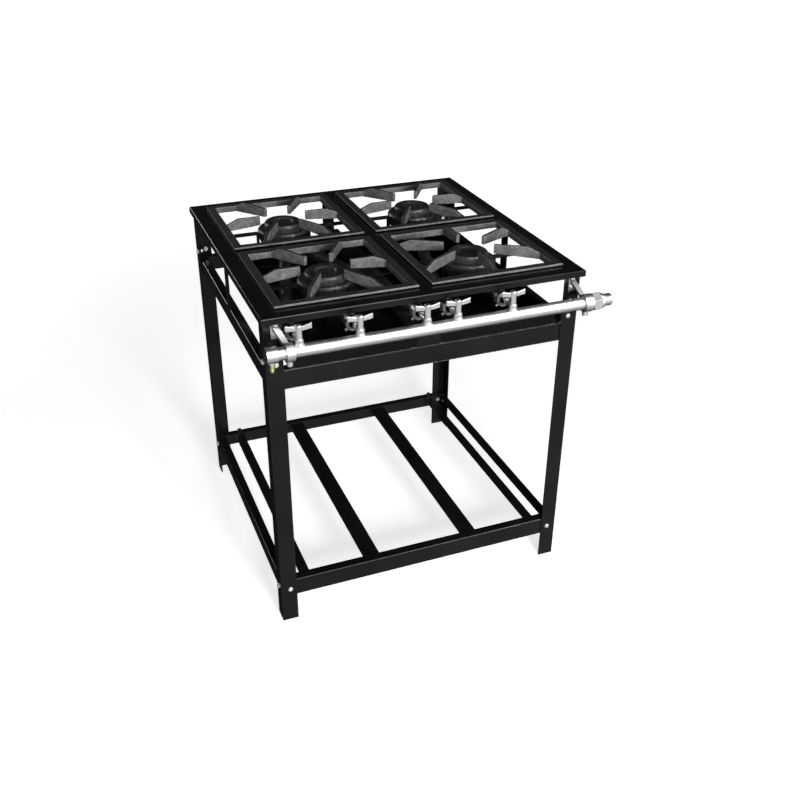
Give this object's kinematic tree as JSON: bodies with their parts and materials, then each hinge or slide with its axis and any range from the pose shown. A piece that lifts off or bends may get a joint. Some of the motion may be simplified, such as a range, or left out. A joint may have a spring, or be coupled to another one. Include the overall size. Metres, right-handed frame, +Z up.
{
  "type": "propane burner stand",
  "caption": "Square propane burner stand: steel angle frame, slatted shelf, cast grates over cast burners, slide-out drip trays and a front gas pipe with winged valves.",
  "frame": {"origin": "middle of the whole stand's bounding box, on the floor; the square top's centre is 22 mm to -X and 24.5 mm to +Y of it", "axes": "+X to the right along the gas pipe towards the inlet, +Y to the back, +Z up; the valves face -Y"},
  "size_m": [0.748, 0.749, 0.774],
  "materials": {
    "black_paint": "gloss",
    "cast_grate": "rough",
    "cast_burner": "rough",
    "chrome": "bright",
    "bare_steel": "brushed",
    "dark_steel": "dull",
    "brass": "satin",
    "zinc": "zinc plated"
  },
  "bodies": {
    "stand": {"top_frame": "black_paint", "leg_front_left": "black_paint", "leg_front_right": "black_paint", "leg_back_left": "black_paint", "leg_back_right": "black_paint", "upper_rail_front": "black_paint", "upper_rail_back": "black_paint", "upper_rail_left": "black_paint", "upper_rail_right": "black_paint", "shelf_rail_front": "black_paint", "shelf_rail_back": "black_paint", "shelf_rail_left": "black_paint", "shelf_rail_right": "black_paint", "shelf_slats": "black_paint", "shelf_edge_slats": "black_paint", "hanger_straps": "black_paint", "burner_support_front": "black_paint", "burner_support_back": "black_paint", "tray_runner_centre": "black_paint", "tray_side_runners": "black_paint", "burner_body_front_left": "cast_burner", "burner_body_front_right": "cast_burner", "burner_body_back_left": "cast_burner", "burner_body_back_right": "cast_burner", "manifold_pipe": "chrome", "manifold_end_cap": "chrome", "test_nipple": "brass", "inlet_coupling": "chrome", "inlet_nipple": "chrome", "manifold_bracket_left": "bare_steel", "manifold_bracket_right": "bare_steel", "valve_body_rear_left_outer": "chrome", "valve_body_front_left": "chrome", "valve_body_rear_left_inner": "chrome", "valve_body_rear_right": "chrome", "valve_body_front_right": "chrome", "frame_bolts": "zinc", "frame_nuts": "zinc", "burner_bolts": "zinc", "clamp_screws": "zinc"},
    "drip_tray_left": {"drip_tray_left": "black_paint"},
    "drip_tray_right": {"drip_tray_right": "black_paint"},
    "grate_front_left": {"grate_front_left": "cast_grate"},
    "grate_front_right": {"grate_front_right": "cast_grate"},
    "grate_back_left": {"grate_back_left": "cast_grate"},
    "grate_back_right": {"grate_back_right": "cast_grate"},
    "burner_cap_front_left": {"burner_cap_front_left": "cast_burner"},
    "burner_cap_front_right": {"burner_cap_front_right": "cast_burner"},
    "burner_cap_back_left": {"burner_cap_back_left": "cast_burner"},
    "burner_cap_back_right": {"burner_cap_back_right": "cast_burner"},
    "valve_handle_rear_left_outer": {"valve_handle_rear_left_outer": "chrome"},
    "valve_handle_front_left": {"valve_handle_front_left": "chrome"},
    "valve_handle_rear_left_inner": {"valve_handle_rear_left_inner": "chrome"},
    "valve_handle_rear_right": {"valve_handle_rear_right": "chrome"},
    "valve_handle_front_right": {"valve_handle_front_right": "chrome"},
    "air_shutter_rear_left_outer": {"air_shutter_rear_left_outer": "dark_steel"},
    "air_shutter_front_left": {"air_shutter_front_left": "dark_steel"},
    "air_shutter_rear_left_inner": {"air_shutter_rear_left_inner": "dark_steel"},
    "air_shutter_rear_right": {"air_shutter_rear_right": "dark_steel"},
    "air_shutter_front_right": {"air_shutter_front_right": "dark_steel"}
  },
  "joints": [
    {"name": "turn_valve_rear_left_outer", "type": "hinge", "parent": "stand", "child": "valve_handle_rear_left_outer", "pos_m": [-0.308, -0.3555, 0.721], "axis": [0, 0, 1], "range_deg": [0, 90]},
    {"name": "turn_valve_front_left", "type": "hinge", "parent": "stand", "child": "valve_handle_front_left", "pos_m": [-0.186, -0.3555, 0.721], "axis": [0, 0, 1], "range_deg": [0, 90]},
    {"name": "turn_valve_rear_left_inner", "type": "hinge", "parent": "stand", "child": "valve_handle_rear_left_inner", "pos_m": [-0.046, -0.3555, 0.721], "axis": [0, 0, 1], "range_deg": [0, 90]},
    {"name": "turn_valve_rear_right", "type": "hinge", "parent": "stand", "child": "valve_handle_rear_right", "pos_m": [0.02, -0.3555, 0.721], "axis": [0, 0, 1], "range_deg": [0, 90]},
    {"name": "turn_valve_front_right", "type": "hinge", "parent": "stand", "child": "valve_handle_front_right", "pos_m": [0.142, -0.3555, 0.721], "axis": [0, 0, 1], "range_deg": [0, 90]},
    {"name": "turn_air_rear_left_outer", "type": "hinge", "parent": "stand", "child": "air_shutter_rear_left_outer", "pos_m": [-0.308, -0.3125, 0.713], "axis": [0, 1, 0], "range_deg": [0, 60]},
    {"name": "turn_air_front_left", "type": "hinge", "parent": "stand", "child": "air_shutter_front_left", "pos_m": [-0.186, -0.3125, 0.713], "axis": [0, 1, 0], "range_deg": [0, 60]},
    {"name": "turn_air_rear_left_inner", "type": "hinge", "parent": "stand", "child": "air_shutter_rear_left_inner", "pos_m": [-0.046, -0.3125, 0.713], "axis": [0, 1, 0], "range_deg": [0, 60]},
    {"name": "turn_air_rear_right", "type": "hinge", "parent": "stand", "child": "air_shutter_rear_right", "pos_m": [0.02, -0.3125, 0.713], "axis": [0, 1, 0], "range_deg": [0, 60]},
    {"name": "turn_air_front_right", "type": "hinge", "parent": "stand", "child": "air_shutter_front_right", "pos_m": [0.142, -0.3125, 0.713], "axis": [0, 1, 0], "range_deg": [0, 60]},
    {"name": "slide_tray_left", "type": "slide", "parent": "stand", "child": "drip_tray_left", "axis": [0, -1, 0], "range_m": [0, 0.4]},
    {"name": "slide_tray_right", "type": "slide", "parent": "stand", "child": "drip_tray_right", "axis": [0, -1, 0], "range_m": [0, 0.4]},
    {"name": "lift_grate_front_left", "type": "slide", "parent": "stand", "child": "grate_front_left", "axis": [0, 0, 1], "range_m": [0, 0.08]},
    {"name": "lift_grate_front_right", "type": "slide", "parent": "stand", "child": "grate_front_right", "axis": [0, 0, 1], "range_m": [0, 0.08]},
    {"name": "lift_grate_back_left", "type": "slide", "parent": "stand", "child": "grate_back_left", "axis": [0, 0, 1], "range_m": [0, 0.08]},
    {"name": "lift_grate_back_right", "type": "slide", "parent": "stand", "child": "grate_back_right", "axis": [0, 0, 1], "range_m": [0, 0.08]},
    {"name": "lift_cap_front_left", "type": "slide", "parent": "stand", "child": "burner_cap_front_left", "axis": [0, 0, 1], "range_m": [0, 0.08]},
    {"name": "lift_cap_front_right", "type": "slide", "parent": "stand", "child": "burner_cap_front_right", "axis": [0, 0, 1], "range_m": [0, 0.08]},
    {"name": "lift_cap_back_left", "type": "slide", "parent": "stand", "child": "burner_cap_back_left", "axis": [0, 0, 1], "range_m": [0, 0.08]},
    {"name": "lift_cap_back_right", "type": "slide", "parent": "stand", "child": "burner_cap_back_right", "axis": [0, 0, 1], "range_m": [0, 0.08]}
  ]
}
